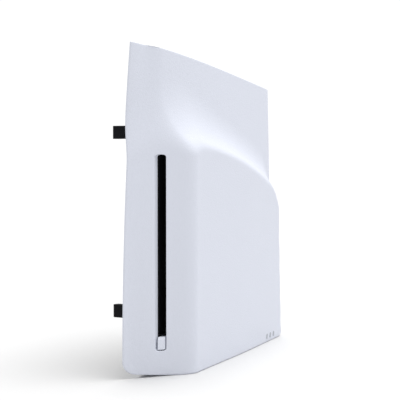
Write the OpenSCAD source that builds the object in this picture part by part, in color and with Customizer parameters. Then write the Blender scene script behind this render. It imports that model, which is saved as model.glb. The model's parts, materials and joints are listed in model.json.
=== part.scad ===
// Detachable disc drive for a slim upright console: a moulded outer cover over a slot-loading drive.
// X is the thickness, with the outer face on +X and the hooks on -X. -Y is the front edge, Z is up.

/* [Cover] */
// Height of the cover's front top corner
cover_h = 230.9; // [200:0.1:260]
// Depth from the front edge to the rear edge
cover_d = 217; // [190:1:240]
// Distance from the hooks' mid plane to the hump's flat outer face
half_w = 29; // [24:0.5:34]
// Full wall thickness of the cover
wall = 2.2; // [1.6:0.1:3]
// Wall thickness at the thin front and top edges
thin_wall = 0.8; // [0.6:0.1:1.6]
// Fall of the top edge per millimetre of depth
top_fall = 0.093; // [0:0.001:0.2]

/* [Disc slot] */
// Lower end of the opening, which also takes the eject button
slot_z0 = 17.9; // [15:0.1:25]
// Upper end of the opening
slot_z1 = 154.7; // [140:0.1:165]
// Width of the opening
slot_w = 5.8; // [4:0.1:8]
// Mid plane of the opening
slot_x = 7.1; // [5:0.05:9]
// Mid plane of a loaded disc
disc_x = 7.65; // [5:0.05:10]
// Height of the spindle above the desk
disc_z = 92; // [80:0.5:100]
// Corner radius of the opening
slot_r = 1.8; // [1:0.1:2.5]
// Top of the eject button
button_z1 = 27.5; // [26:0.05:32]
// Gap below the eject button
button_gap = 0.75; // [0.3:0.05:1]

/* [Drive] */
// Front, rear, lower and upper sides of the drive's case
case_y0 = -71.5; // [-76:0.5:-60]
case_y1 = 82; // [70:0.5:90]
case_z0 = 20; // [16:0.5:26]
case_z1 = 164; // [158:0.5:170]
// Outer face of the drive's lid
case_x1 = 16.4; // [14:0.1:18]
// Sheet thickness of the case
sheet = 1; // [0.6:0.1:1.6]
// Lowered angle of the spindle frame, in degrees
drop_a = 2.5; // [1:0.1:4]
// Raised angle of the clamp arm, in degrees
lift_a = 1.9; // [1:0.1:3]

/* [Mounting] */
// Height of one hook's tab
hook_h = 9.2; // [6:0.1:14]
// Mid heights of the two hooks
hook_z_low = 44.2; // [30:0.1:60]
hook_z_high = 170.3; // [150:0.1:190]
// Radius of the locating pins
pin_r = 2.5; // [1.5:0.1:4]
// Length of the locating pins' straight part
pin_l = 7; // [4:0.5:12]

/* [Gears] */
// Size of the teeth
gear_m = 0.4; // [0.3:0.05:0.6]
// Teeth on the small gears, the two large gears and the roller's gear
small_t = 10; // [9:1:14]
large_t = 24; // [18:1:30]
roller_t = 20; // [16:1:26]

/* [Hidden] */
$fn = 48;
u0 = cover_d/2;             // y of the cover's mid depth, seen from its front edge
x0 = 11;                    // shift from the skin's own X to the part's X
hump = half_w + x0;
back_x = -7;                // outer face of the carrier plate
plate_t = 2.4;
floor_x = back_x + plate_t; // outer face of the case's floor
in_x = floor_x + sheet;     // inner face of the case's floor
lid_x = case_x1 - sheet;    // inner face of the lid
disc_hi = disc_x + 0.6;     // face of a loaded disc that the clamp puck meets
hinge_y = 76;               // both swinging frames turn about this line
low_hinge_x = 2;
high_hinge_x = 12.4;
roller_x = 2.75;
roller_y = -65.5;
gear_b = [2.35, roller_y + sqrt(36 - 0.16)];
gear_a = [2.1, gear_b.y + sqrt(46.24 - 0.0625)];
motor_c = [2.1, gear_a.y + 6.8];
slide_y = -21;              // pins that ride in the cam slider

// ---- outer skin of the cover, as a height over the side plane ----
// u runs back from the front edge, z up, and the result is the skin's own X

function smin(a, b, k) = let(h = max(k - abs(a - b), 0)/k) min(a, b) - h*h*k/4;
function smax(a, b, k) = -smin(-a, -b, k);
function smooth(t) = let(c = min(max(t, 0), 1)) c*c*(3 - 2*c);

// front edge, leaning out towards the top
function flare(z) = 9.4*pow(max(z, 0)/231, 2.1);

// the thin blade above the hump
function wing(u, z) =
    let(e = 1 - exp(-pow(max(u, 0)/46, 0.9)))
    flare(z)*(1 - e) + (30.6 - 3.6*pow(z/231, 2))*e;

// the slanted front of the hump, which holds the slot; the flare fades out before the slot
function flank(u, z) =
    let(s = smooth(u/18))
    flare(z)*(1 - s) + 3.8*s + 0.45*u + 0.01117*u*u;

// the hump's broad face, which drops a little towards the front
function face(u) = hump - 3.4*(1 - smooth((u - 20)/130));

// height of the hump's crest line
function crest(u) =
    let(f = max(56 - u, 0), b = max(u - 56, 0), c = max(u - 182, 0))
    161.2 - 0.011*f*f - 0.0907*b - 0.00103*b*b - 0.0006*c*c*c;

// hollow sweep from the crest up to the blade
function ramp(u, z) =
    let(w = 32 + 28*exp(-pow(u/75, 2)),
        t = (z - crest(u))/w,
        q = t < 0 ? 1 - 2.4*t : pow(max(1 - t, 0), 2.4))
    wing(u, z) + (face(u) - wing(u, z))*q;

function rear_fall(u, z) = hump + 3.2*(208.6 + 6.5*pow(max(112 - z, 0)/110, 1.3) - u);

function skin(u, z) =
    let(front = smin(flank(u, z), face(u), 7),
        upper = smin(front, ramp(u, z), 2.5 + 9*exp(-pow(u/34, 2))))
    smin(upper, smax(rear_fall(u, z), wing(u, z), 4), 3);

function top_z(u) = cover_h - top_fall*u;

function bottom_z(u) =
    let(f = max(8 - u, 0), r = max(u - cover_d + 8, 0), c = max(1 - u/34, 0))
    (8 - sqrt(max(64 - f*f, 0))) + (8 - sqrt(max(64 - r*r, 0))) + 4.2*pow(c, 1.6);

function edge_round(d, r) = d >= r ? 0 : r*(1 - sqrt(max(1 - pow(1 - max(d, 0)/r, 2), 0)));

function outer(u, z) =
    skin(u, z) - edge_round(z - bottom_z(u), 0.6 + 0.6*smooth(u/30))
    - edge_round(cover_d - u, 1.2) - edge_round(u, 0.5) - edge_round(top_z(u) - z, 0.5);

function skin_slope(u, z) =
    let(a = skin(u + 0.5, z) - skin(u - 0.5, z), b = skin(u, z + 0.5) - skin(u, z - 0.5))
    sqrt(1 + a*a + b*b);

function skin_wall(u, z) = thin_wall + (wall - thin_wall)*smooth(min(u, top_z(u) - z)/30);

function inner(u, z) = skin(u, z) - skin_wall(u, z)*skin_slope(u, z);

// how far the wall reaches back: deep under the hump, a short lip elsewhere
function rim(u, z) =
    let(lip = inner(u, z) - 0.4, f = smooth((z - 140)/30))
    min(5, lip)*(1 - f) + lip*f;

// inner face of the cover at a place in the part's own frame
function cover_in(y, z) = inner(y + u0, z) - x0;

us = concat([for (i = [0:5]) 8*(1 - cos(18*i))],
    [for (i = [1:15]) 8 + 3.2*i],
    [for (i = [1:13]) 56 + 11*i],
    [for (i = [1:8]) 199 + 1.25*i],
    [for (i = [1:6]) 209 + 8*sin(15*i)]);
qs = concat([0, 0.0018, 0.0055, 0.0115], [for (i = [1:34]) 0.0115 + 0.0286*i], [0.9962, 1]);
ni = len(us);
nj = len(qs);
np = 2*(ni + nj) - 4;

function inner_u(u) = thin_wall + (cover_d - thin_wall - wall)*u/cover_d;
function outer_z(u, q) = bottom_z(u) + (top_z(u) - bottom_z(u))*q;
function inner_z(u, q) =
    bottom_z(u) + wall + (top_z(u) - thin_wall - bottom_z(u) - wall)*q;

border = concat([for (i = [0:ni - 1]) [i, 0]],
    [for (j = [1:nj - 1]) [ni - 1, j]],
    [for (i = [ni - 2:-1:0]) [i, nj - 1]],
    [for (j = [nj - 2:-1:1]) [0, j]]);

function grid_id(s, i, j) = (s*ni + i)*nj + j;
function split(a, b, c, d) = [[a, b, c], [a, c, d]];

module shell_solid() {
    outer_pts = [for (u = us) for (q = qs)
        let(z = outer_z(u, q)) [outer(u, z) - x0, u - u0, z]];
    inner_pts = [for (u = us) for (q = qs)
        let(v = inner_u(u), z = inner_z(u, q)) [inner(v, z) - x0, v - u0, z]];
    outer_rim = [for (b = border)
        let(u = us[b.x], v = inner_u(u), q = qs[b.y])
        [rim(v, inner_z(u, q)) - x0, u - u0, outer_z(u, q)]];
    inner_rim = [for (b = border)
        let(u = us[b.x], v = inner_u(u), z = inner_z(u, qs[b.y]))
        [rim(v, z) - x0, v - u0, z]];
    base = 2*ni*nj;
    outer_faces = [for (i = [0:ni - 2]) for (j = [0:nj - 2])
        each split(grid_id(0, i, j), grid_id(0, i, j + 1), grid_id(0, i + 1, j + 1), grid_id(0, i + 1, j))];
    inner_faces = [for (i = [0:ni - 2]) for (j = [0:nj - 2])
        each split(grid_id(1, i, j), grid_id(1, i + 1, j), grid_id(1, i + 1, j + 1), grid_id(1, i, j + 1))];
    edge_faces = [for (k = [0:np - 1])
        let(m = (k + 1)%np, a = border[k], b = border[m],
            oa = grid_id(0, a.x, a.y), ob = grid_id(0, b.x, b.y),
            ia = grid_id(1, a.x, a.y), ib = grid_id(1, b.x, b.y),
            ra = base + k, rb = base + m, sa = base + np + k, sb = base + np + m)
        each concat(split(oa, ob, rb, ra), split(ra, rb, sb, sa), split(ia, sa, sb, ib))];
    polyhedron(concat(outer_pts, inner_pts, outer_rim, inner_rim),
        concat(outer_faces, inner_faces, edge_faces));
}

// ---- shared shapes ----

module along_x(x, y, z, r, l) {
    translate([x, y, z])
        rotate([0, 90, 0])
            cylinder(r = r, h = l);
}

module along_z(c, z, r, l) {
    translate([c.x, c.y, z])
        cylinder(r = r, h = l);
}

// slab whose outline is drawn in Y and Z, reaching from x to x + t
module slab(x, t) {
    translate([x, 0, 0])
        rotate([90, 0, 90])
            linear_extrude(t)
                children();
}

module round_rect(w, h, r) {
    square([w - 2*r, h], center = true);
    square([w, h - 2*r], center = true);
    for (a = [-1, 1])
        for (b = [-1, 1])
            translate([a*(w/2 - r), b*(h/2 - r)])
                circle(r, $fn = 24);
}

module block(x, y, z) {
    translate([x[0], y[0], z[0]])
        cube([x[1] - x[0], y[1] - y[0], z[1] - z[0]]);
}

module gear(c, z, h, t, phase) {
    r = gear_m*t/2;
    s = 180/t;
    pts = [for (k = [0:t - 1]) each
        [for (p = [[-0.56, -0.5], [-0.38, 0], [-0.17, 0.32], [0.17, 0.32], [0.38, 0], [0.56, -0.5]])
            let(a = phase + 2*s*k + p.x*s, q = r + p.y) [q*cos(a), q*sin(a)]]];
    translate([c.x, c.y, z])
        linear_extrude(h)
            polygon(pts);
}

function bearing(a, b) = atan2(b.y - a.y, b.x - a.x);

// places a piece that is drawn in its working position at its lowered or raised rest
module lowered() {
    translate([low_hinge_x, hinge_y, 0])
        rotate([0, 0, -drop_a])
            translate([-low_hinge_x, -hinge_y, 0])
                children();
}

module raised() {
    translate([high_hinge_x, hinge_y, 0])
        rotate([0, 0, lift_a])
            translate([-high_hinge_x, -hinge_y, 0])
                children();
}

module case_outline(d) {
    polygon([[case_y0 + d, case_z0 + d], [case_y0 + d, case_z1 - d], [20 - d*0.3, case_z1 - d],
        [case_y1 - d, 128 - d*0.7], [case_y1 - d, case_z0 + d]]);
}

// ---- cover ----

module cover_shell() {
    color([0.85, 0.87, 0.91])
        difference() {
            shell_solid();
            translate([slot_x, -60, (slot_z0 + slot_z1)/2])
                rotate([90, 0, 0])
                    linear_extrude(60)
                        round_rect(slot_w, slot_z1 - slot_z0, slot_r);
        }
}

posts = [[90, 32], [94, 96], [-30, 195], [60, 186]];

module cover_posts() {
    color([0.85, 0.87, 0.91])
        for (p = posts)
            let(top = cover_in(p.x, p.y) + 0.5) {
                along_x(floor_x + 0.4, p.x, p.y, 3.5, top - floor_x - 0.4);
                along_x(back_x + 0.3, p.x, p.y, 1.9, plate_t + 0.6);
            }
}

module cover_marks() {
    color([0.78, 0.8, 0.84])
        for (k = [0:2])
            slab(half_w, 0.2)
                translate([70 + 7.9*k, 4.9])
                    rotate(-20)
                        round_rect(3, 4.4, 1.3);
}

module slot_bezel() {
    color([0.03, 0.03, 0.035])
        difference() {
            translate([0, 0, 15.8])
                linear_extrude(142.2)
                    polygon([[2.6, -86], [11.6, -78], [11.6, case_y0], [2.6, case_y0]]);
            block([4.4, 10], [-90, -60], [28.9, slot_z1]);
            block([4.95, 9.5], [-90, -77.2], [slot_z0 + 0.4, button_z1 + 0.3]);
            block([4.5, 12], [-77.3, -60], [17.5, 29.4]);
        }
}

// outline of the button from above; d sets its slanted face back
module button_outline(d) {
    polygon([[5.25, d - 88.6], [5.6, d - 88.9], [8.9, d - 85.35], [9.2, d - 84.9],
        [9.2, -78.6], [5.25, -78.6]]);
}

module eject_button() {
    base = slot_z0 + button_gap;
    color([0.85, 0.87, 0.91]) {
        hull() {
            translate([0, 0, base])
                linear_extrude(button_z1 - base - 1.9)
                    button_outline(0);
            translate([0, 0, base])
                linear_extrude(button_z1 - base)
                    button_outline(0.9);
        }
        block([6.6, 8.8], [-78.7, -76.7], [22.5, 26.3]);
    }
}

module eject_board() {
    color([0.05, 0.25, 0.16])
        difference() {
            block([4.6, 11.4], [-73.6, -72.6], [18.3, 29]);
            for (z = [20, 27.6])
                translate([8, -70, z])
                    rotate([90, 0, 0])
                        cylinder(r = 0.5, h = 5);
        }
    color([0.05, 0.25, 0.16])
        for (z = [20.2, 27.2])
            block([10, 11.3], [-72.6, case_y0], [z - 0.5, z + 0.5]);
}

module eject_switch() {
    color([0.2, 0.2, 0.22]) {
        block([5.4, 10], [-75.3, -73.6], [22, 26.8]);
        translate([7.7, -75.3, 24.4])
            rotate([90, 0, 0])
                cylinder(r = 1.1, h = 0.7);
    }
}

// ---- mounting side ----

module carrier_plate() {
    color([0.06, 0.06, 0.07]) {
        difference() {
            slab(back_x, plate_t)
                polygon([[-93, 5], [-93, 130], [-99, 175], [-99, 221], [104, 202], [104, 9], [100, 5]]);
            for (p = posts)
                along_x(back_x - 1, p.x, p.y, 2, plate_t + 2);
            for (p = screw_spots) {
                along_x(back_x - 1, p.x, p.y, 1.6, plate_t + 2);
                along_x(back_x - 1, p.x, p.y, 3.1, 2.3);
            }
            block([back_x - 1, floor_x + 1], [70, 82], [181, 190]);
            block([back_x - 1, floor_x + 1], [44, 62], [88, 97]);
            for (z = [172:6:202])
                for (y = [[-78, -44], [-16, 46]])
                    block([back_x - 1, floor_x + 1], y, [z, z + 2.4]);
        }
        for (y = [[64.5, 67.5], [84.5, 87.5]])
            block([floor_x, floor_x + 3.2], y, [176, 196.15]);
        for (y = [[64.5, 69], [83, 87.5]])
            block([floor_x + 2.2, floor_x + 3.2], y, [176, 196.15]);
        block([floor_x, floor_x + 2.6], [64.5, 87.5], [196.05, 198]);
    }
}

screw_spots = [[-50, 158], [8, 159], [74, 118], [74, 28], [-28, 32]];

module hook(z) {
    color([0.04, 0.04, 0.05])
        translate([0, 0, z - hook_h/2])
            difference() {
                linear_extrude(hook_h)
                    polygon([[back_x, -92], [back_x - 1.8, -92], [back_x - 1.8, -89.6],
                        [-28.2, -89.6], [-half_w - 0.2, -88.8], [-half_w - 0.2, -86.6],
                        [-27.4, -84.2], [-24.4, -84.2], [-24.4, -86.6],
                        [back_x - 1.8, -86.6], [back_x - 1.8, -79], [back_x, -79]]);
                along_x(back_x - 3, -82.4, hook_h/2, 1.3, 4);
            }
}

module hook_upper() {
    hook(hook_z_high);
}

module hook_lower() {
    hook(hook_z_low);
}

pin_spots = [[-60, 212], [92, 18]];

module locating_pins() {
    color([0.06, 0.06, 0.07])
        for (p = pin_spots) {
            along_x(back_x - pin_l, p.x, p.y, pin_r, pin_l);
            translate([back_x - pin_l, p.x, p.y])
                rotate([0, -90, 0])
                    cylinder(r1 = pin_r, r2 = pin_r - 0.8, h = 0.8);
        }
}

module plug_housing() {
    color([0.05, 0.05, 0.055])
        difference() {
            union() {
                block([-14, back_x], [45, 61], [89, 96]);
                block([back_x, floor_x - 0.3], [44.3, 61.7], [88.3, 96.7]);
            }
            block([-15, -9], [46, 60], [90.4, 91.9]);
            block([-15, -9], [46, 60], [93.1, 94.6]);
        }
}

module plug_contacts() {
    color([0.83, 0.69, 0.35])
        for (k = [0:8])
            for (z = [91.6, 93.1])
                block([-13.4, -9], [46.6 + 1.5*k, 47.3 + 1.5*k], [z, z + 0.3]);
}

module plug_ribbon() {
    color([0.9, 0.9, 0.88])
        translate([0, 59, 0])
            rotate([90, 0, 0])
                linear_extrude(12)
                    polygon([[-3.5, 94], [-3.5, 58], [-0.6, 55.7], [-0.4, 55.7], [-0.4, 55.9],
                        [-3.3, 58.1], [-3.3, 94]]);
}

module mount_screws() {
    color([0.3, 0.3, 0.32])
        for (p = screw_spots)
            difference() {
                union() {
                    along_x(back_x + 0.1, p.x, p.y, 2.8, 1.1);
                    along_x(back_x + 1.2, p.x, p.y, 1.3, 4.6);
                }
                along_x(back_x - 1, p.x, p.y, 0.9, 1.7);
            }
}

module release_latch() {
    color([0.06, 0.06, 0.07]) {
        block([floor_x + 0.1, floor_x + 2], [67.7, 84.3], [178, 190]);
        block([-12.5, floor_x + 0.1], [71, 81], [181.6, 186]);
        block([-12.5, -9.6], [71, 81], [178.6, 181.6]);
    }
}

module coil(c, z, r, w, h, turns) {
    n = 14*turns;
    m = 8;
    pts = [for (k = [0:n]) for (j = [0:m - 1])
        let(a = 360*turns*k/n, b = 360*j/m, q = r + w*cos(b))
        [c.x + q*cos(a), c.y + q*sin(a), z + (h - 2*w)*k/n + w + w*sin(b)]];
    side = [for (k = [0:n - 1]) for (j = [0:m - 1])
        let(e = (j + 1)%m)
        each split(k*m + j, k*m + m + j, k*m + m + e, k*m + e)];
    polyhedron(pts, concat(side, [[for (j = [0:m - 1]) j]], [[for (j = [m - 1:-1:0]) n*m + j]]));
}

module latch_spring() {
    color([0.7, 0.7, 0.72])
        coil([floor_x + 1.35, 76], 190, 1.05, 0.16, 6, 6);
}

// ---- drive case ----

module case_frame() {
    color([0.52, 0.53, 0.55])
        difference() {
            union() {
                difference() {
                    slab(floor_x, lid_x - floor_x)
                        case_outline(0);
                    slab(in_x, 30)
                        case_outline(sheet);
                }
                for (p = screw_spots)
                    along_x(floor_x, p.x, p.y, 2.6, 3.4);
                for (p = lid_spots)
                    along_x(floor_x, p.x, p.y, 2.4, lid_x - floor_x);
            }
            block([5.1, 10.2], [case_y0 - 1, case_y0 + 2], [30, slot_z1]);
            for (p = screw_spots)
                along_x(floor_x - 1, p.x, p.y, 1.35, 6);
            for (p = lid_spots)
                along_x(lid_x - 5, p.x, p.y, 1.05, 6);
            block([floor_x - 1, in_x + 1], [46, 60], [88.5, 96.5]);
            for (y = [-30:12:30])
                block([floor_x - 1, in_x + 1], [y, y + 6], [132, 140]);
        }
}

lid_spots = [[-38, 161], [16, 161], [79, 24], [-38.3, 22.9], [62, 136.2]];

module case_lid() {
    color([0.6, 0.61, 0.63])
        difference() {
            union() {
                slab(lid_x, sheet)
                    case_outline(0);
                slab(case_x1, 0.5)
                    translate([4, disc_z])
                        circle(34);
            }
            for (p = lid_spots)
                along_x(lid_x - 1, p.x, p.y, 1.25, 4);
            along_x(lid_x - 1, 4, disc_z, 4, 4);
        }
}

module case_screws() {
    color([0.3, 0.3, 0.32])
        for (p = lid_spots)
            difference() {
                union() {
                    along_x(case_x1, p.x, p.y, 2.2, 0.7);
                    along_x(lid_x - 4, p.x, p.y, 1, 5);
                }
                along_x(case_x1 + 0.3, p.x, p.y, 0.8, 1);
            }
}

module main_board() {
    color([0.04, 0.24, 0.15])
        difference() {
            block([-2.4, -1.2], [18, 70], [31, 56]);
            for (p = [[21, 34], [67, 53]])
                along_x(-3, p.x, p.y, 1.1, 3);
        }
    color([0.04, 0.24, 0.15])
        for (p = [[30, 34], [56, 53]])
            along_x(in_x, p.x, p.y, 1.4, 1.2);
}

module board_chips() {
    color([0.05, 0.05, 0.055]) {
        block([-1.2, 0.1], [34, 46], [36, 48]);
        block([-1.2, -0.2], [52, 60], [36, 42]);
        block([-1.2, -0.3], [23, 30], [42, 47]);
        for (k = [0:4])
            block([-1.2, -0.6], [50 + 2.4*k, 51.2 + 2.4*k], [46, 48]);
    }
}

module board_sockets() {
    color([0.85, 0.83, 0.76]) {
        block([-1.2, 0.4], [36, 58], [52.6, 55.6]);
        block([-1.2, 0.8], [19, 26], [36.5, 40.5]);
    }
}

module hinge_brackets() {
    color([0.5, 0.51, 0.53])
        difference() {
            for (z = [55, 125.2])
                block([in_x, 14.8], [73, 79], [z, z + 3]);
            along_z([low_hinge_x, hinge_y], 40, 1.25, 100);
            along_z([high_hinge_x, hinge_y], 40, 1.25, 100);
        }
}

// ---- loading train ----

module gear_bracket() {
    color([0.16, 0.16, 0.17])
        difference() {
            union() {
                block([in_x, 7.6], [-70.3, -41.2], [30.2, 31.2]);
                block([in_x, in_x + 1.4], [-70.3, -41.2], [22, 31.2]);
            }
            along_z([roller_x, roller_y], 20, 1.55, 20);
            along_z(motor_c, 20, 2.05, 20);
            along_z(gear_a, 20, 0.9, 20);
            along_z(gear_b, 20, 0.9, 20);
            block([in_x + 1.4, 20], [-80, -30], [20, 30.2]);
            for (g = [gear_a, gear_b])
                along_z(g, 21, 5.6, 9.2);
        }
}

module gear_axles() {
    color([0.7, 0.7, 0.72])
        for (g = [gear_a, gear_b])
            along_z(g, 21.4, 0.9, 9.8);
}

module roller_bracket() {
    color([0.16, 0.16, 0.17])
        difference() {
            union() {
                block([in_x, 6.2], [-69.5, -61.5], [155.5, 157]);
                block([in_x, in_x + 1.2], [-69.5, -58], [154, 162]);
            }
            along_z([roller_x, roller_y], 150, 1.55, 20);
        }
}

module roller_shaft() {
    color([0.7, 0.7, 0.72])
        along_z([roller_x, roller_y], 27, 1.5, 132);
}

module roller_rubber() {
    color([0.05, 0.05, 0.055])
        translate([roller_x, roller_y, 0])
            difference() {
                union() {
                    translate([0, 0, 33])
                        cylinder(r1 = 4, r2 = 3.4, h = disc_z - 33);
                    translate([0, 0, disc_z])
                        cylinder(r1 = 3.4, r2 = 4, h = 151 - disc_z);
                }
                translate([0, 0, 30])
                    cylinder(r = 1.5, h = 125);
            }
}

module roller_gear() {
    color([0.88, 0.86, 0.8])
        difference() {
            gear([roller_x, roller_y], 27.2, 2.4, roller_t, bearing([roller_x, roller_y], gear_b));
            along_z([roller_x, roller_y], 20, 1.5, 20);
        }
}

module disc_guide() {
    color([0.05, 0.05, 0.055]) {
        block([8.6, 10.4], [-69.8, -61.2], [24, 159]);
        for (z = [26, 60, 92, 124, 154])
            block([10.4, lid_x], [-69, -66], [z, z + 3]);
    }
}

module load_motor() {
    color([0.66, 0.67, 0.69]) {
        intersection() {
            along_z(motor_c, 31.2, 4.7, 18);
            block([-1.9, 5.7], [-60, -30], [31, 50]);
        }
        along_z(motor_c, 30.2, 2, 1);
        along_z(motor_c, 49.2, 1.6, 1.4);
    }
}

module motor_pinion() {
    color([0.83, 0.69, 0.35]) {
        difference() {
            gear(motor_c, 21.6, 2.2, small_t, bearing(gear_a, motor_c) + 180 + 180/small_t);
            along_z(motor_c, 20, 0.75, 10);
        }
        along_z(motor_c, 21.6, 0.75, 8.5);
    }
}

module train_gear(c, z, big_phase, small_phase) {
    color([0.88, 0.86, 0.8])
        difference() {
            union() {
                gear(c, z, 2.2, large_t, big_phase);
                gear(c, z + 2.2, 2.9, small_t, small_phase);
            }
            along_z(c, 15, 0.95, 30);
        }
}

module gear_first() {
    train_gear(gear_a, 21.6, bearing(gear_a, motor_c), bearing(gear_b, gear_a) + 180 + 180/small_t);
}

module gear_second() {
    train_gear(gear_b, 24.5, bearing(gear_b, gear_a),
        bearing([roller_x, roller_y], gear_b) + 180 + 180/small_t);
}

// ---- lifting gear ----

// places of the two cam pins with the frames down on the disc, and as they rest
reach = hinge_y - slide_y;
low_pin = 3.6;
high_pin = 8.9;
low_rest = low_hinge_x + (low_pin - low_hinge_x)*cos(drop_a) - reach*sin(drop_a);
high_rest = high_hinge_x + (high_pin - high_hinge_x)*cos(lift_a) + reach*sin(lift_a);

// a slanted slot for a pin that goes from one X to the other while the slider travels 10 mm
module cam_slot(from, to) {
    tilt = atan2(from - to, 10);
    translate([from, slide_y, 20]) {
        cylinder(r = 1.36, h = 10);
        rotate([0, 0, -tilt])
            translate([-1.36, -10/cos(tilt), 0])
                cube([2.72, 10/cos(tilt), 10]);
    }
    translate([to, slide_y - 10, 20])
        cylinder(r = 1.36, h = 10);
}

module cam_slider() {
    color([0.88, 0.86, 0.8])
        difference() {
            union() {
                block([-3.4, 14.9], [-35.2, -14], [24, 25.8]);
                block([-3.4, 1.6], [-35.2, 48], [24, 25.8]);
            }
            cam_slot(low_rest, low_pin);
            cam_slot(high_rest, high_pin);
            block([-2, 0.2], [-8, 42], [23, 27]);
        }
}

module spindle_frame() {
    color([0.1, 0.1, 0.11])
        lowered() {
            difference() {
                union() {
                    block([1, 3], [-24, 72], [64, 122]);
                    block([1, 3], [-24, -18], [27, 66]);
                    block([1, 4.8], [-24, -18], [27, 28.5]);
                    block([0.2, 5.4], [8.2, 11], [68, 80]);
                    block([0.2, 5.4], [8.2, 11], [104, 113.6]);
                    block([0.2, 5.4], [69, 71.8], [68, 120.6]);
                }
                block([-2, 8], [11.2, 68.8], [69.5, 119]);
                along_x(-2, 0, disc_z, 8, 12);
                for (z = [74, 110])
                    translate([3.2, 0, z])
                        rotate([-90, 0, 0])
                            cylinder(r = 1, h = 80);
                translate([3.2, 50, 116.6])
                    rotate([-90, 0, 0])
                        cylinder(r = 1.38, h = 30);
                block([0, 5], [-16, 7.5], [109.5, 122.5]);
                block([0, 8], [7.4, 68.8], [113.8, 119.4]);
            }
            difference() {
                block([1, 6.6], [5.2, 7.5], [110, 122]);
                translate([3.2, 0, 116.6])
                    rotate([-90, 0, 0])
                        cylinder(r = 1.38, h = 30);
            }
            along_z([low_pin, slide_y], 23.4, 1.2, 4);
            for (z = [[54.9, 66], [120, 128.1]])
                along_z([low_hinge_x, hinge_y], z[0], 1.2, z[1] - z[0]);
            for (z = [62, 119])
                block([1, 3], [70, hinge_y], [z, z + 5]);
        }
}

module guide_rods() {
    color([0.75, 0.75, 0.77])
        lowered()
            for (z = [74, 110])
                translate([3.2, 8.4, z])
                    rotate([-90, 0, 0])
                        cylinder(r = 1, h = 63.2);
}

module spindle_base() {
    color([0.45, 0.46, 0.48])
        lowered() {
            along_x(0.3, 0, disc_z, 7.9, 1.5);
            along_x(1.8, 0, disc_z, 2, 1.2);
            block([0.3, 1], [-11.5, 0], [86, 98]);
        }
}

module turntable() {
    color([0.1, 0.1, 0.11])
        lowered() {
            difference() {
                union() {
                    along_x(3.3, 0, disc_z, 11, 2.6);
                    along_x(5.9, 0, disc_z, 14, 1.05);
                    along_x(6.9, 0, disc_z, 7.2, 1.7);
                }
                along_x(3.2, 0, disc_z, 10.2, 1.8);
                along_x(8, 0, disc_z, 3, 2);
            }
            along_x(3.3, 0, disc_z, 3, 3);
        }
}

module turntable_pad() {
    color([0.05, 0.05, 0.055])
        lowered()
            difference() {
                along_x(6.95, 0, disc_z, 13.6, 0.1);
                along_x(6, 0, disc_z, 9.6, 2);
            }
}

module pickup_body() {
    color([0.2, 0.2, 0.22])
        lowered()
            difference() {
                union() {
                    block([0.9, 5.2], [16, 34.5], [70.6, 113.4]);
                    block([1.4, 5], [20, 30], [113.4, 118.4]);
                    along_x(5.2, 24, disc_z, 6, 0.5);
                }
                for (z = [74, 110])
                    translate([3.2, 0, z])
                        rotate([-90, 0, 0])
                            cylinder(r = 1.06, h = 80);
                translate([3.2, 0, 116.6])
                    rotate([-90, 0, 0])
                        cylinder(r = 1.38, h = 80);
                along_x(4.6, 24, disc_z, 3.2, 2);
                block([4.5, 6], [30.5, 33.5], [78, 106]);
            }
}

module pickup_lens() {
    color([0.55, 0.6, 0.75, 0.5])
        lowered()
            difference() {
                along_x(4.6, 24, disc_z, 3.1, 1.3);
                along_x(5.6, 24, disc_z, 2.1, 1);
            }
}

module sled_motor() {
    color([0.66, 0.67, 0.69])
        lowered()
            translate([3.2, -14.8, 116.6])
                rotate([-90, 0, 0])
                    difference() {
                        cylinder(r = 2.7, h = 20);
                        translate([0, 0, 2])
                            cylinder(r = 1.38, h = 60);
                    }
}

module lead_screw() {
    color([0.75, 0.75, 0.77])
        lowered()
            translate([3.2, -12, 116.6])
                rotate([-90, 0, 0]) {
                    cylinder(r = 1.3, h = 83.4);
                    translate([0, 0, 20.6])
                        cylinder(r = 2, h = 1.6);
                }
}

module clamp_arm() {
    color([0.62, 0.63, 0.65])
        raised() {
            difference() {
                union() {
                    block([10.7, 11.7], [-18, 75], [78, 106]);
                    block([10.7, 11.7], [-24, -18], [27, 106]);
                    block([7.6, 11.7], [-24, -18], [27, 31.2]);
                    along_z([high_hinge_x, hinge_y], 58.6, 1.9, 66.2);
                    block([10.7, 11.7], [66, 75.6], [60, 124]);
                }
                along_x(5, 0, disc_z, 5.6, 12);
                for (y = [20, 44])
                    block([10, 13], [y, y + 14], [84, 100]);
            }
            along_z([high_hinge_x, hinge_y], 54.9, 1.2, 73.2);
            along_z([high_pin, slide_y], 23.4, 1.2, 4);
        }
}

module clamp_puck() {
    color([0.1, 0.1, 0.11])
        raised()
            difference() {
                union() {
                    along_x(disc_hi, 0, disc_z, 13, 2);
                    along_x(disc_hi + 2, 0, disc_z, 5.2, 1.9);
                    along_x(disc_hi + 3.6, 0, disc_z, 7, 0.5);
                }
                along_x(disc_hi - 1, 0, disc_z, 7.9, 2.5);
            }
}

// ---- disc guide arms ----

arm_y = 10;
arm_z = 58.2;
tip_y = -38;
tip_z = 49.5;

module guide_arm(s) {
    color([0.88, 0.86, 0.8])
        difference() {
            union() {
                hull() {
                    along_x(3.4, arm_y, disc_z + s*arm_z, 3, 1.6);
                    along_x(3.4, tip_y, disc_z + s*tip_z, 2, 1.6);
                }
                along_x(3.4, arm_y, disc_z + s*arm_z, 3, 2.2);
                along_x(3.4, tip_y, disc_z + s*tip_z, 1.9, 6.2);
            }
            along_x(0, arm_y, disc_z + s*arm_z, 1.56, 10);
        }
}

module guide_arm_upper() {
    guide_arm(1);
}

module guide_arm_lower() {
    guide_arm(-1);
}

module arm_posts() {
    color([0.7, 0.7, 0.72])
        for (s = [-1, 1]) {
            along_x(in_x, arm_y, disc_z + s*arm_z, 1.5, 9.4);
            along_x(in_x, arm_y, disc_z + s*arm_z, 2.8, 6.9);
        }
}

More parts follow.
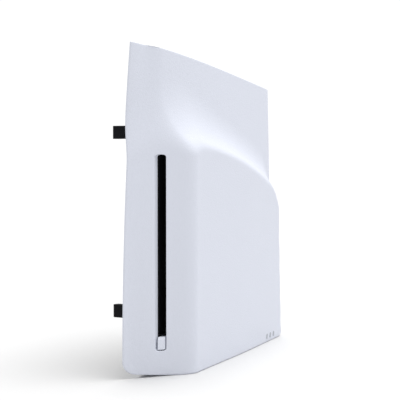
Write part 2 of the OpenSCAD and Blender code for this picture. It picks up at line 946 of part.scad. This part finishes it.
cover_shell();
cover_posts();
cover_marks();
slot_bezel();
eject_button();
eject_board();
eject_switch();
carrier_plate();
hook_upper();
hook_lower();
locating_pins();
plug_housing();
plug_contacts();
plug_ribbon();
mount_screws();
release_latch();
latch_spring();
case_frame();
case_lid();
case_screws();
main_board();
board_chips();
board_sockets();
hinge_brackets();
gear_bracket();
gear_axles();
roller_bracket();
roller_shaft();
roller_rubber();
roller_gear();
disc_guide();
load_motor();
motor_pinion();
gear_first();
gear_second();
cam_slider();
spindle_frame();
guide_rods();
spindle_base();
turntable();
turntable_pad();
pickup_body();
pickup_lens();
sled_motor();
lead_screw();
clamp_arm();
clamp_puck();
guide_arm_upper();
guide_arm_lower();
arm_posts();
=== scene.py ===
import json
import math

import bpy
import numpy as np
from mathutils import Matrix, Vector


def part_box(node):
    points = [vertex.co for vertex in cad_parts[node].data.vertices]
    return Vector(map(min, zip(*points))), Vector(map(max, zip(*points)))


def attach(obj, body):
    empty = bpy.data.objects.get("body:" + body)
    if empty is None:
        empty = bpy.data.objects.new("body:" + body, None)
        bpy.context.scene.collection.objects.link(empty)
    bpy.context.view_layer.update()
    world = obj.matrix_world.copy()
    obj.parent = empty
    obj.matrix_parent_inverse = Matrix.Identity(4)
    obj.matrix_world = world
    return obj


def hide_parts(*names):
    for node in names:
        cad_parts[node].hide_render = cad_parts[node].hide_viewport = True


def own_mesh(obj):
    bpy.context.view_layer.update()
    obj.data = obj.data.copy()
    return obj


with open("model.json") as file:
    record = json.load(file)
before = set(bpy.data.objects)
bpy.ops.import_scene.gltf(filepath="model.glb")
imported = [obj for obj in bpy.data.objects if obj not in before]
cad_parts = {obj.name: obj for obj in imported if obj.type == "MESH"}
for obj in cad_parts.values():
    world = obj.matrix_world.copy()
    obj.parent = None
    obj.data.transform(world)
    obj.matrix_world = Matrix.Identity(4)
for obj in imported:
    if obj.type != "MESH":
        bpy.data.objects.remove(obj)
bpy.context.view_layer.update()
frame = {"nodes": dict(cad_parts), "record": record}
print("frame loaded")

mm = 0.001


class Field:
    # one number on the surface; sums and products of fields add Math nodes
    def __init__(self, finish, socket):
        self.finish = finish
        self.socket = socket

    def maths(self, operation, a, b):
        return self.finish.node("ShaderNodeMath", {"operation": operation}, {0: a, 1: b})

    def __add__(self, other):
        return self.maths("ADD", self, other)

    def __sub__(self, other):
        return self.maths("SUBTRACT", self, other)

    def __rsub__(self, other):
        return self.maths("SUBTRACT", other, self)

    def __mul__(self, other):
        return self.maths("MULTIPLY", self, other)

    def clipped(self):
        return self.maths("MINIMUM", self.maths("MAXIMUM", self, 0.0), 1.0)


class Finish:
    # a material with one Principled shader; node() makes any other node it needs
    def __init__(self, name, colour, rough, **shader):
        self.mat = bpy.data.materials.new(name)
        self.mat.use_nodes = True
        self.tree = self.mat.node_tree
        self.main = self.tree.nodes["Principled BSDF"]
        self.colour = colour
        self.main.inputs["Base Color"].default_value = (*colour, 1)
        self.main.inputs["Roughness"].default_value = rough
        for words, value in shader.items():
            self.main.inputs[words.replace("_", " ")].default_value = value
        self.place = self.tree.nodes.new("ShaderNodeTexCoord").outputs["Object"]

    def node(self, kind, settings=None, sockets=None, out=0):
        made = self.tree.nodes.new(kind)
        for key, value in (settings or {}).items():
            if key == "stops":
                for stop, (at, shade) in zip(made.color_ramp.elements, value):
                    stop.position = at
                    stop.color = (shade, shade, shade, 1)
            else:
                setattr(made, key, value)
        for key, value in (sockets or {}).items():
            self.feed(made.inputs[key], value)
        return Field(self, made.outputs[out])

    def feed(self, socket, value):
        if isinstance(value, Field):
            self.tree.links.new(value.socket, socket)
        else:
            socket.default_value = value

    def stretched(self, scale):
        # the object's own coordinates, stretched along an axis
        mapping = self.tree.nodes.new("ShaderNodeMapping")
        self.tree.links.new(self.place, mapping.inputs["Vector"])
        mapping.inputs["Scale"].default_value = scale
        return Field(self, mapping.outputs[0])

    def noise(self, size, detail=2.0, scale=(1, 1, 1)):
        # cloudy pattern whose patches are about size metres across
        return self.node("ShaderNodeTexNoise", None,
                         {"Vector": self.stretched(scale), "Scale": 1/size, "Detail": detail})

    def cells(self, size, scale=(1, 1, 1)):
        # distance to the nearest of many scattered points, size metres apart
        return self.node("ShaderNodeTexVoronoi", None,
                         {"Vector": self.stretched(scale), "Scale": 1/size})

    def tint(self, share, other):
        # base colour drifts towards another colour where share is high
        blend = self.node("ShaderNodeMix", {"data_type": "RGBA"},
                          {0: share, 6: (*self.colour, 1), 7: (*other, 1)}, out=2)
        self.feed(self.main.inputs["Base Color"], blend)

    def relief(self, height, depth):
        # small bumps: height is a field from 0 to 1, depth is in metres
        bump = self.node("ShaderNodeBump", None, {"Height": height, "Distance": depth, "Strength": 1.0})
        self.feed(self.main.inputs["Normal"], bump)

    def gloss(self, value):
        self.feed(self.main.inputs["Roughness"], value)


def mouldedWhite(name, colour, grain):
    # spark-eroded white plastic: two sizes of fine cells, and a faint drift of tone
    finish = Finish(name, colour, 0.52, IOR=1.46)
    cloud = finish.noise(0.045, 3.0)
    speck = finish.noise(0.0011, 2.0)
    pits = finish.cells(grain)
    finish.tint((cloud*0.5 + speck*0.5 - 0.25).clipped(), tuple(c*0.955 for c in colour))
    finish.gloss(speck*0.12 + 0.46)
    finish.relief(pits*0.6 + speck*0.7, 0.00012)
    return finish.mat


def blackPlastic(name, colour, grain, sheen=0.5):
    # dark moulded plastic with a fine eroded grain and a slight sheen on the peaks
    finish = Finish(name, colour, 0.55, IOR=1.46, Specular_IOR_Level=sheen)
    pits = finish.noise(grain, 3.0)
    wear = finish.noise(0.012, 4.0)
    finish.tint((wear*1.6 - 0.55).clipped(), tuple(c*1.5 + 0.002 for c in colour))
    finish.gloss(pits*0.22 + 0.44)
    finish.relief(pits, 0.00006)
    return finish.mat


def sheetSteel(name, colour, size):
    # zinc-coated sheet: flat crystals of slightly different brightness, faint rolling lines
    finish = Finish(name, colour, 0.38, Metallic=1.0)
    spangle = finish.node("ShaderNodeTexVoronoi", {"feature": "F1"},
                          {"Vector": finish.stretched((1, 1, 1)), "Scale": 1/size}, out=1)
    tone = finish.node("ShaderNodeRGBToBW", None, {0: spangle})
    rolled = finish.noise(0.0009, 2.0, (1, 0.05, 1))
    finish.tint((tone*0.8).clipped(), tuple(c*0.78 for c in colour))
    finish.gloss(tone*0.16 + rolled*0.1 + 0.26)
    finish.relief(rolled, 0.00002)
    return finish.mat


def groundSteel(name, colour, rough, lines):
    # ground or turned metal: fine lines across the axis and small changes in gloss
    finish = Finish(name, colour, rough, Metallic=1.0)
    turned = finish.noise(0.0006, 3.0, lines)
    smear = finish.noise(0.006, 3.0)
    finish.tint((smear*1.2 - 0.3).clipped(), tuple(c*0.8 for c in colour))
    finish.gloss(turned*0.18 + (rough - 0.08))
    finish.relief(turned, 0.000015)
    return finish.mat


def circuitBoard(name, colour):
    # solder mask over copper tracks: paler raised lines in a stepped pattern, gloss lacquer over it
    finish = Finish(name, colour, 0.3, IOR=1.5)
    tracks = finish.node("ShaderNodeTexBrick", {"offset": 0.37, "squash": 0.6},
                         {"Vector": finish.stretched((1, 1, 1)), "Color1": (0, 0, 0, 1),
                          "Color2": (0, 0, 0, 1), "Mortar": (1, 1, 1, 1), "Scale": 260.0,
                          "Mortar Size": 0.07}, out=1)
    haze = finish.noise(0.004, 3.0)
    finish.tint((tracks*0.75 + haze*0.2).clipped(), (0.10, 0.42, 0.24))
    finish.gloss(haze*0.2 + 0.2)
    finish.relief(tracks, 0.00004)
    return finish.mat


def acetal(name, colour):
    # natural gear plastic: waxy, with a faint flow pattern
    finish = Finish(name, colour, 0.4, IOR=1.48)
    flow = finish.noise(0.005, 3.0, (1, 1, 0.3))
    finish.tint((flow*1.3 - 0.4).clipped(), tuple(c*0.88 for c in colour))
    finish.gloss(flow*0.2 + 0.3)
    finish.relief(finish.noise(0.0007, 2.0), 0.00002)
    return finish.mat


def softRubber(name, colour):
    # matt rubber, ground round its axis, with dusty patches
    finish = Finish(name, colour, 0.8, IOR=1.5)
    ground = finish.noise(0.0005, 2.0, (0.3, 0.3, 1))
    dust = finish.noise(0.009, 4.0)
    finish.tint((dust*1.8 - 0.8).clipped(), tuple(c + 0.03 for c in colour))
    finish.gloss(0.9 - dust*0.25)
    finish.relief(ground, 0.00005)
    return finish.mat


def goldPlate(name, colour):
    # thin gold on spring contacts, wiped brighter in streaks
    finish = Finish(name, colour, 0.25, Metallic=1.0)
    wiped = finish.noise(0.0008, 2.0, (0.1, 1, 1))
    finish.tint((wiped*1.2 - 0.3).clipped(), tuple(c*0.75 for c in colour))
    finish.gloss(wiped*0.25 + 0.14)
    return finish.mat


def coatedLens(name, colour):
    # coated glass: a violet film that is thicker in rings
    finish = Finish(name, colour, 0.05, IOR=1.5, Transmission_Weight=0.6)
    film = finish.noise(0.003, 1.0)
    finish.tint((film*1.5 - 0.4).clipped(), (0.35, 0.22, 0.6))
    finish.gloss(film*0.06 + 0.03)
    return finish.mat


def ribbonFilm(name, colour):
    # flat flexible cable: silvery conductors seen through pale film, one every millimetre
    finish = Finish(name, colour, 0.35, IOR=1.55)
    stripes = finish.node("ShaderNodeTexWave", {"wave_type": "BANDS", "bands_direction": "Y"},
                          {"Vector": finish.stretched((1, 1, 1)), "Scale": 314.0}, out=1)
    finish.tint((stripes*1.6 - 0.5).clipped(), (0.55, 0.56, 0.58))
    finish.gloss(stripes*0.15 + 0.25)
    finish.relief(stripes, 0.00004)
    return finish.mat


coverColour = (0.655, 0.68, 0.76)
finishes = {
    "cover_white": mouldedWhite("coverWhite", coverColour, 0.0009),
    "button_white": mouldedWhite("buttonWhite", tuple(c*1.05 for c in coverColour), 0.0006),
    # the marks are coloured dark grey, darker than their own light grey: painted shade standing in for
    # the shadows round their raised letters
    "mark_grey": mouldedWhite("markPaintedShade", (0.40, 0.42, 0.46), 0.0006),
    "black_plastic": blackPlastic("blackPlastic", (0.0035, 0.0035, 0.005), 0.0007, 0.12),
    "dark_plastic": blackPlastic("darkPlastic", (0.035, 0.035, 0.038), 0.0006),
    "chip_black": blackPlastic("chipBlack", (0.012, 0.012, 0.013), 0.0003),
    "board_green": circuitBoard("boardGreen", (0.008, 0.11, 0.055)),
    "gold": goldPlate("goldPlate", (0.83, 0.62, 0.28)),
    "brass": groundSteel("brass", (0.78, 0.60, 0.28), 0.3, (1, 1, 0.2)),
    "ribbon": ribbonFilm("ribbonFilm", (0.78, 0.78, 0.76)),
    "dark_steel": groundSteel("darkSteel", (0.11, 0.11, 0.12), 0.4, (1, 1, 1)),
    "steel": groundSteel("steel", (0.62, 0.62, 0.64), 0.25, (0.2, 0.2, 1)),
    "case_steel": sheetSteel("caseSteel", (0.50, 0.51, 0.53), 0.006),
    "ivory_plastic": acetal("ivoryPlastic", (0.68, 0.65, 0.54)),
    "gear_plastic": acetal("gearPlastic", (0.75, 0.72, 0.63)),
    "rubber": softRubber("rubber", (0.02, 0.02, 0.022)),
    "motor_can": groundSteel("motorCan", (0.56, 0.57, 0.59), 0.3, (1, 1, 0.2)),
    "lens": coatedLens("lens", (0.5, 0.52, 0.7)),
}
slotOf = {part["node"]: part["material_slot"] for part in frame["record"]["subparts"]}
for nodeName, nodeObject in frame["nodes"].items():
    nodeObject.data.materials.clear()
    nodeObject.data.materials.append(finishes[slotOf[nodeName]])
print("finishes made:", len(finishes))


# moulded edges on the CAD pieces that show
softEdges = {  # piece: radius of its edges in mm
    "hook_upper": 0.35, "hook_lower": 0.35, "carrier_plate": 0.3, "plug_housing": 0.25,
    "release_latch": 0.25, "slot_bezel": 0.2, "case_lid": 0.25, "main_board": 0.1,
    "eject_button": 0.3,
}
weldGap = 0.01*mm  # corners of the CAD mesh closer than this become one
bevelAngle = math.radians(40)
for nodeName, radius in softEdges.items():
    nodeObject = frame["nodes"][nodeName]
    weld = nodeObject.modifiers.new("weld", "WELD")
    weld.merge_threshold = weldGap
    bevel = nodeObject.modifiers.new("bevel", "BEVEL")
    bevel.width = radius*mm
    bevel.segments = 2
    bevel.limit_method = "ANGLE"
    bevel.angle_limit = bevelAngle
    bevel.harden_normals = True
print("edges softened:", len(softEdges))


# the cover's skin is a height over the side plane, all in millimetres
coverLow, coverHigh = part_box("cover_shell")
skinPlan = {
    "shift": 11.0,                          # from the skin's own X to the part's
    "hump": coverHigh[0]/mm + 11.0,         # the flat outer face
    "faceDrop": 3.4,                        # fall of the outer face towards the front
    "faceStart": 20.0,                      # depth at which it starts to rise again
    "faceLength": 130.0,                    # depth over which it rises
    "depth": (coverHigh[1] - coverLow[1])/mm,
    "height": coverHigh[2]/mm,
    "topFall": 0.093,                       # fall of the top edge per millimetre of depth
    "fullHeight": 231.0,                    # height over which the front edge and the blade lean
    "frontLean": 9.4,                       # reach of the front edge at the top
    "bladeReach": 30.6,                     # outer face of the thin blade near the desk
    "bladeFall": 3.6,                       # how much lower that face is at the top
    "crestHeight": 161.2,                   # top of the hump
    "crestDepth": 56.0,                     # depth at which the hump is highest
    "wall": 2.2,
    "thinWall": 0.8,                        # at the front and top edges
    "thinBand": 30.0,                       # distance from those edges over which it thickens
    "bottomRound": 1.2,
    "cornerRound": 8.0,
    "rearRound": 1.2,
    "thinRound": 0.5,                       # at the front and top edges
    "rimDepth": 5.0,                        # how far back the lower walls reach
    "rimTop": 140.0,                        # height at which they start to turn into a lip
    "rimFade": 30.0,                        # height over which they do
    "lipDepth": 0.4,
}


def softMin(a, b, k):
    # the lesser of two heights, with a round of width k where they cross
    h = np.maximum(k - np.abs(a - b), 0)/k
    return np.minimum(a, b) - h*h*k/4


def softMax(a, b, k):
    # the greater of two heights, rounded in the same way
    return -softMin(-a, -b, k)


def easeIn(t):
    # smooth step from 0 to 1: three times the square less twice the cube
    c = np.clip(t, 0, 1)
    return c*c*(3 - 2*c)


def flare(z):
    # lean of the front edge: a power of the height
    return skinPlan["frontLean"]*(np.maximum(z, 0)/skinPlan["fullHeight"])**2.1


def wing(u, z):
    # thin blade over the hump: the flare at the front edge fades into a nearly flat rear
    e = 1 - np.exp(-(np.maximum(u, 0)/46)**0.9)
    blade = skinPlan["bladeReach"] - skinPlan["bladeFall"]*(z/skinPlan["fullHeight"])**2
    return flare(z)*(1 - e) + blade*e


def flank(u, z):
    # slanted front of the hump: a parabola in depth on top of the flare,
    # which fades to a fixed offset before the slot
    s = easeIn(u/18)
    return flare(z)*(1 - s) + 3.8*s + 0.45*u + 0.01117*u*u


def face(u):
    # broad face of the hump: flat at the rear, and lower by a smooth step towards the front
    rise = easeIn((u - skinPlan["faceStart"])/skinPlan["faceLength"])
    return skinPlan["hump"] - skinPlan["faceDrop"]*(1 - rise)


def crest(u):
    # height of the hump's crest: a short rise, a long parabola down, then a steeper cubic
    f, b = np.maximum(skinPlan["crestDepth"] - u, 0), np.maximum(u - skinPlan["crestDepth"], 0)
    c = np.maximum(u - 182, 0)
    return skinPlan["crestHeight"] - 0.011*f*f - 0.0907*b - 0.00103*b*b - 0.0006*c*c*c


def ramp(u, z):
    # hollow sweep from the crest to the blade: a power of the distance above the crest
    w = 32 + 28*np.exp(-(u/75)**2)
    t = (z - crest(u))/w
    q = np.where(t < 0, 1 - 2.4*t, np.maximum(1 - t, 0)**2.4)
    return wing(u, z) + (face(u) - wing(u, z))*q


def rearFall(u, z):
    # steep rear of the hump, which leans back towards the desk
    return skinPlan["hump"] + 3.2*(208.6 + 6.5*(np.maximum(112 - z, 0)/110)**1.3 - u)


def skinHeight(u, z):
    # least of the slanted front, the broad face, the sweep and the rear, with rounds between them;
    # the rear never falls below the blade
    front = softMin(flank(u, z), face(u), 7)
    upper = softMin(front, ramp(u, z), 2.5 + 9*np.exp(-(u/34)**2))
    return softMin(upper, softMax(rearFall(u, z), wing(u, z), 4), 3)


def topEdge(u):
    # straight, and lower by a fixed fall for each millimetre of depth
    return skinPlan["height"] - skinPlan["topFall"]*u


def bottomEdge(u):
    # straight along the desk, round at both corners, and rising a little under the flank
    r = skinPlan["cornerRound"]
    f, g = np.maximum(r - u, 0), np.maximum(u - skinPlan["depth"] + r, 0)
    c = np.maximum(1 - u/34, 0)
    return 2*r - np.sqrt(np.maximum(r*r - f*f, 0)) - np.sqrt(np.maximum(r*r - g*g, 0)) + 4.2*c**1.6


def edgeRound(d, r):
    # drop of a quarter round of radius r at distance d from an edge
    s = np.clip(1 - np.maximum(d, 0)/r, 0, 1)
    return r*(1 - np.sqrt(np.maximum(1 - s*s, 0)))


def outerHeight(u, z):
    # the skin less a quarter round along each of its four edges
    foot = edgeRound(z - bottomEdge(u), 0.6 + 0.6*easeIn(u/30))
    rear = edgeRound(skinPlan["depth"] - u, skinPlan["rearRound"])
    front, top = edgeRound(u, skinPlan["thinRound"]), edgeRound(topEdge(u) - z, skinPlan["thinRound"])
    return skinHeight(u, z) - foot - rear - front - top


def innerHeight(u, z):
    # the skin less the wall, measured square to the skin
    a = skinHeight(u + 0.5, z) - skinHeight(u - 0.5, z)
    b = skinHeight(u, z + 0.5) - skinHeight(u, z - 0.5)
    thin, full = skinPlan["thinWall"], skinPlan["wall"]
    t = thin + (full - thin)*easeIn(np.minimum(u, topEdge(u) - z)/skinPlan["thinBand"])
    return skinHeight(u, z) - t*np.sqrt(1 + a*a + b*b)


def rimHeight(u, z):
    # deep wall under the hump, a short lip elsewhere
    lip = innerHeight(u, z) - skinPlan["lipDepth"]
    f = easeIn((z - skinPlan["rimTop"])/skinPlan["rimFade"])
    return np.minimum(skinPlan["rimDepth"], lip)*(1 - f) + lip*f


search = {"deepest": 44.0, "halvings": 40}  # in mm; the mouth lies well within this depth


def depthAt(height, x, z):
    # depth at which the flank reaches a given X, by halving an interval
    low, high = np.zeros_like(x), np.full_like(x, search["deepest"])
    for _ in range(search["halvings"]):
        mid = (low + high)/2
        under = height(mid, z) < x
        low, high = np.where(under, mid, low), np.where(under, high, mid)
    return (low + high)/2


# the cover is one closed mesh, with the slot's rounded mouth let into the flank
slotPlan = {
    "left": 15.2, "right": 21.0,            # in the skin's own X
    "low": 17.9, "high": 154.7,
    "corner": 1.8,
    "lipRound": 0.4,                        # round of the mouth's edge
    "sleeve": 5.0,                          # depth of the white sleeve behind the mouth
    "sleeveWall": 1.0,
    "margin": 1.8,                          # band of mesh round the mouth
    "rings": 5,
    "endBand": 4.0,                         # height of the finer rows at the mouth's two ends
    "gridDepth": 100.0,                     # depth and height at which the columns are placed
    "gridHeight": 220.0,
}


def run(start, stop, count):
    return np.linspace(start, stop, count, endpoint=False)


def rowShares():
    # rows as (zone, share): round at the foot, foot, lower slot, slot, upper slot, blade,
    # round at the top
    quarter = 1 - np.cos(np.radians(run(0, 90, 7)))
    zones = [quarter, run(0, 1, 10), run(0, 1, 8), run(0, 1, 96), run(0, 1, 8), run(0, 1, 58),
             np.sin(np.radians(np.linspace(0, 90, 5)))]
    return (np.concatenate([np.full(len(s), k) for k, s in enumerate(zones)]), np.concatenate(zones))


def rowHeights(u, zone, share, foot, head):
    # height of each row at depth u, between foot and head
    lo, hi = slotPlan["low"] - slotPlan["margin"], slotPlan["high"] + slotPlan["margin"]
    r = skinPlan["bottomRound"]
    band = slotPlan["endBand"]
    stops = [foot, foot + r, lo, lo + band, hi - band, hi, head - skinPlan["thinRound"], head]
    stops = [stop + 0*u for stop in stops]
    return sum(np.where(zone == k, stops[k] + (stops[k + 1] - stops[k])*share, 0) for k in range(7))


def columnShares():
    # columns as (zone, share): front edge to mouth, across the mouth, mouth to rear, round at the rear
    quarter = np.sin(np.radians(np.linspace(0, 90, 6)))
    zones = [run(0, 1, 24)**1.5, run(0, 1, 10), run(0, 1, 122), quarter]
    return (np.concatenate([np.full(len(s), k) for k, s in enumerate(zones)]), np.concatenate(zones))


def columnDepths(height, z, zone, share, first, last):
    # depth of each column at height z; across the mouth the columns follow lines of equal X
    z = np.clip(z, slotPlan["low"] - slotPlan["margin"], slotPlan["high"] + slotPlan["margin"])
    x0, x1 = slotPlan["left"] - slotPlan["margin"], slotPlan["right"] + slotPlan["margin"]
    mouth = depthAt(height, x0 + (x1 - x0)*np.where(zone == 1, share, 0) + 0*z, z)
    left, right = depthAt(height, x0 + 0*z, z), depthAt(height, x1 + 0*z, z)
    rear = last - skinPlan["rearRound"]
    return (np.where(zone == 0, first + (left - first)*share, 0) + np.where(zone == 1, mouth, 0)
            + np.where(zone == 2, right + (rear - right)*share, 0)
            + np.where(zone == 3, rear + skinPlan["rearRound"]*share, 0))


def skinGrid(height, first, last, foot, head):
    # grid of points over the whole side; columns across, rows up
    colZone, colShare = columnShares()
    rowZone, rowShare = rowShares()
    across = np.full(len(rowZone), slotPlan["gridDepth"])
    flatZ = rowHeights(across, rowZone, rowShare, 0.0, slotPlan["gridHeight"])
    u = columnDepths(height, flatZ[None, :], colZone[:, None], colShare[:, None], first, last)
    z = rowHeights(u, rowZone[None, :], rowShare[None, :], foot(u), head(u))
    return u, z, colZone, rowZone


def ringOf(rows, a0, a1, b0, b1):
    # indices of a rectangle's border, once round: along the foot, up the rear, back along the head, down
    a, b = np.arange(a0, a1), np.arange(b0, b1)
    return np.concatenate([a*rows + b0, a1*rows + b, (a[::-1] + 1)*rows + b1, a0*rows + b[::-1] + 1])


def mouthLoop(x, z, grow):
    # nearest point of the slot's rounded outline, grown outwards by grow, for each point round it
    cx, cz = (slotPlan["left"] + slotPlan["right"])/2, (slotPlan["low"] + slotPlan["high"])/2
    r = slotPlan["corner"]
    hx, hz = (slotPlan["right"] - slotPlan["left"])/2 - r, (slotPlan["high"] - slotPlan["low"])/2 - r
    kx, kz = np.clip(x - cx, -hx, hx), np.clip(z - cz, -hz, hz)
    dx, dz = x - cx - kx, z - cz - kz
    far = np.hypot(dx, dz)
    return cx + kx + dx/far*(r + grow), cz + kz + dz/far*(r + grow)


def strip(a, b):
    # quads between one closed loop of indices and the next
    return np.stack([a, b, np.roll(b, -1), np.roll(a, -1)], 1)


def buildCover():
    # outer and inner skins on matching grids, joined through the slot's mouth and round the rim
    depth, wall, thin = skinPlan["depth"], skinPlan["wall"], skinPlan["thinWall"]
    points, faces, borders, mouths = [], [], [], []
    total = 0
    skins = [
        (outerHeight, skinHeight, 0.0, depth, bottomEdge, topEdge, 1),
        (innerHeight, innerHeight, thin, depth - wall, lambda u: bottomEdge(u) + wall,
         lambda u: topEdge(u) - thin, -1),
    ]
    for surface, solve, first, last, foot, head, way in skins:
        u, z, colZone, rowZone = skinGrid(solve, first, last, foot, head)
        cols, rows = u.shape
        grid = np.stack([surface(u, z), u, z], -1).reshape(-1, 3)
        a0, a1 = np.flatnonzero(colZone == 1)[0], np.flatnonzero(colZone == 2)[0]
        b0, b1 = np.flatnonzero(rowZone == 2)[0], np.flatnonzero(rowZone == 5)[0]
        i, j = np.meshgrid(np.arange(cols - 1), np.arange(rows - 1), indexing="ij")
        outside = (i < a0) | (i >= a1) | (j < b0) | (j >= b1)
        k = (i*rows + j)[outside] + total
        faces.append(np.stack([k, k + rows, k + rows + 1, k + 1], -1)[:, ::way])
        points.append(grid)
        border = ringOf(rows, 0, cols - 1, 0, rows - 1)
        borders.append((border + total, grid[border]))
        start = ringOf(rows, a0, a1, b0, b1)
        x, up = grid[start, 0], grid[start, 2]
        loops = [start + total]
        total += len(grid)
        grow = slotPlan["lipRound"] if way > 0 else slotPlan["sleeveWall"]
        toX, toZ = mouthLoop(x, up, grow)
        steps = [(x + (toX - x)*share, up + (toZ - up)*share, 0.0)
                 for share in np.linspace(0, 1, slotPlan["rings"] + 1)[1:]]
        if way > 0:
            steps += [(*mouthLoop(x, up, grow*(1 - math.sin(turn))), grow*(1 - math.cos(turn)))
                      for turn in np.radians([22.5, 45, 67.5, 90])]
            steps += [(*mouthLoop(x, up, 0.0), slotPlan["sleeve"]*share) for share in (0.35, 0.7, 1.0)]
        for ringX, ringZ, sunk in steps:
            points.append(np.stack([ringX, depthAt(solve, ringX, ringZ) + sunk, ringZ], -1))
            loops.append(np.arange(len(x)) + total)
            total += len(x)
        faces += [strip(a, b)[:, ::-way] for a, b in zip(loops[:-1], loops[1:])]
        if way > 0:
            sleeveDepth = points[-1][:, 1]  # where the sleeve ends, all round
        mouths.append(loops[-1])
    sleeveEnd = np.arange(len(mouths[0])) + total
    endX, endZ = mouthLoop(x, up, slotPlan["sleeveWall"])
    points.append(np.stack([endX, sleeveDepth, endZ], -1))
    total += len(endX)
    faces += [strip(mouths[0], sleeveEnd)[:, ::-1], strip(sleeveEnd, mouths[1])[:, ::-1]]
    (outerRing, edge), (innerRing, rim) = borders
    back = rimHeight(rim[:, 1], rim[:, 2])
    points += [np.stack([back, edge[:, 1], edge[:, 2]], -1), np.stack([back, rim[:, 1], rim[:, 2]], -1)]
    rimOuter = np.arange(len(back)) + total
    rimInner = rimOuter + len(back)
    faces += [strip(outerRing, rimOuter), strip(rimOuter, rimInner), strip(rimInner, innerRing)]
    cloud = np.concatenate(points) - [skinPlan["shift"], depth/2, 0]
    return cloud*mm, np.concatenate(faces)


creaseAngle = math.radians(35)  # sharper edges than this stay hard


def addMesh(name, cloud, faces, finish, body):
    # points and faces into a smooth mesh object that rides on a body
    mesh = bpy.data.meshes.new(name)
    mesh.from_pydata(cloud.tolist(), [], faces)
    mesh.validate()
    mesh.polygons.foreach_set("use_smooth", np.full(len(mesh.polygons), True))
    mesh.update()
    mesh.set_sharp_from_angle(angle=creaseAngle)
    mesh.materials.append(finishes[finish])
    made = bpy.data.objects.new(name, mesh)
    bpy.context.scene.collection.objects.link(made)
    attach(made, body)
    return made


coverPoints, coverFaces = buildCover()
cover = addMesh("cover_skin", coverPoints, coverFaces.tolist(), "cover_white", "chassis")
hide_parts("cover_shell")
print("cover skin:", len(coverPoints), "points")

# the latch's return spring between the latch and its seat: one fixed coil that rides on the latch
springPlan = {
    "place": (-3.25, 76.0), "low": 190.0, "high": 196.0,  # in mm
    "radius": 1.05, "wire": 0.16,
    "turns": 6, "stepsEachTurn": 32, "sides": 10,
    "closed": 0.5,                          # share of its length with the latch fully up
}


def buildSpring():
    # round wire on a helix: x = r cos a, y = r sin a, and z rises with a
    wire, sides = springPlan["wire"], springPlan["sides"]
    steps = springPlan["turns"]*springPlan["stepsEachTurn"]
    along = np.linspace(0, 1, steps + 1)[:, None]
    around = np.linspace(0, 2*math.pi, sides, endpoint=False)[None, :]
    angle = 2*math.pi*springPlan["turns"]*along
    reach = springPlan["radius"] + wire*np.cos(around)
    rise = springPlan["low"] + wire + (springPlan["high"] - springPlan["low"] - 2*wire)*along
    x, y = springPlan["place"]
    cloud = np.stack([x + reach*np.cos(angle), y + reach*np.sin(angle),
                      rise + wire*np.sin(around)], -1).reshape(-1, 3)
    rings = np.arange((steps + 1)*sides).reshape(steps + 1, sides)
    bands = [strip(low, high)[:, ::-1] for low, high in zip(rings[:-1], rings[1:])]
    ends = [rings[0][::-1].tolist(), rings[-1].tolist()]
    return cloud*mm, np.concatenate(bands).tolist() + ends


springPoints, springFaces = buildSpring()
spring = addMesh("latch_coil", springPoints, springFaces, "steel", "release_latch")
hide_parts("latch_spring")
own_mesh(spring)
print("latch spring:", len(springPoints), "points")


# floor, light and camera
studio = {
    "floorSize": 30.0,
    "floorColour": (0.60, 0.60, 0.60),
    "floorTint": (0.585, 0.585, 0.59),      # faint clouds in the paper
    "room": 0.72,                           # light from all round
    "backdrop": 1.05,                       # how white the empty background looks
    "lamps": [  # name, direction that it shines from, strength, angle that it fills in degrees
        ("overhead", (0.15, 0.20, 0.97), 3.4, 60.0),
    ],
    "camera": (0.3197, -0.7375, 0.1519),
    "heading": 23.5,                        # degrees towards -X from +Y
    "fall": 2.28,                           # degrees below the horizon
    "lens": 93.7,
}
half = studio["floorSize"]/2
floorMesh = bpy.data.meshes.new("floor")
floorCorners = [(-half, -half, 0), (half, -half, 0), (half, half, 0), (-half, half, 0)]
floorMesh.from_pydata(floorCorners, [], [(0, 1, 2, 3)])
floorFinish = Finish("floorPaper", studio["floorColour"], 0.9)
floorFinish.tint((floorFinish.noise(0.5, 2.0)*0.4).clipped(), studio["floorTint"])
floorMesh.materials.append(floorFinish.mat)
floor = bpy.data.objects.new("floor", floorMesh)
bpy.context.scene.collection.objects.link(floor)

world = bpy.data.worlds.new("studio")
world.use_nodes = True
backdrop = world.node_tree.nodes["Background"]
ray = world.node_tree.nodes.new("ShaderNodeLightPath")
choice = world.node_tree.nodes.new("ShaderNodeMix")
choice.inputs[2].default_value = studio["room"]
choice.inputs[3].default_value = studio["backdrop"]
world.node_tree.links.new(ray.outputs["Is Camera Ray"], choice.inputs[0])
world.node_tree.links.new(choice.outputs[0], backdrop.inputs["Strength"])
backdrop.inputs["Color"].default_value = (1, 1, 1, 1)
bpy.context.scene.world = world


def aim(thing, place, towards):
    # puts a lamp or the camera in its place, looking along a direction
    thing.location = place
    thing.rotation_mode = "QUATERNION"
    thing.rotation_quaternion = Vector(towards).to_track_quat("-Z", "Y")
    bpy.context.scene.collection.objects.link(thing)


for lampName, source, strength, spread in studio["lamps"]:
    lamp = bpy.data.lights.new(lampName, "SUN")
    lamp.energy = strength
    lamp.angle = math.radians(spread)
    aim(bpy.data.objects.new(lampName, lamp), source, -Vector(source))

lens = bpy.data.cameras.new("camera")
lens.lens = studio["lens"]
lens.clip_start = 0.01
camera = bpy.data.objects.new("camera", lens)
turn, fall = math.radians(studio["heading"]), math.radians(studio["fall"])
aim(camera, studio["camera"],
    (-math.sin(turn)*math.cos(fall), math.cos(turn)*math.cos(fall), -math.sin(fall)))
bpy.context.scene.camera = camera
bpy.context.scene.view_settings.view_transform = "Standard"
print("studio set")
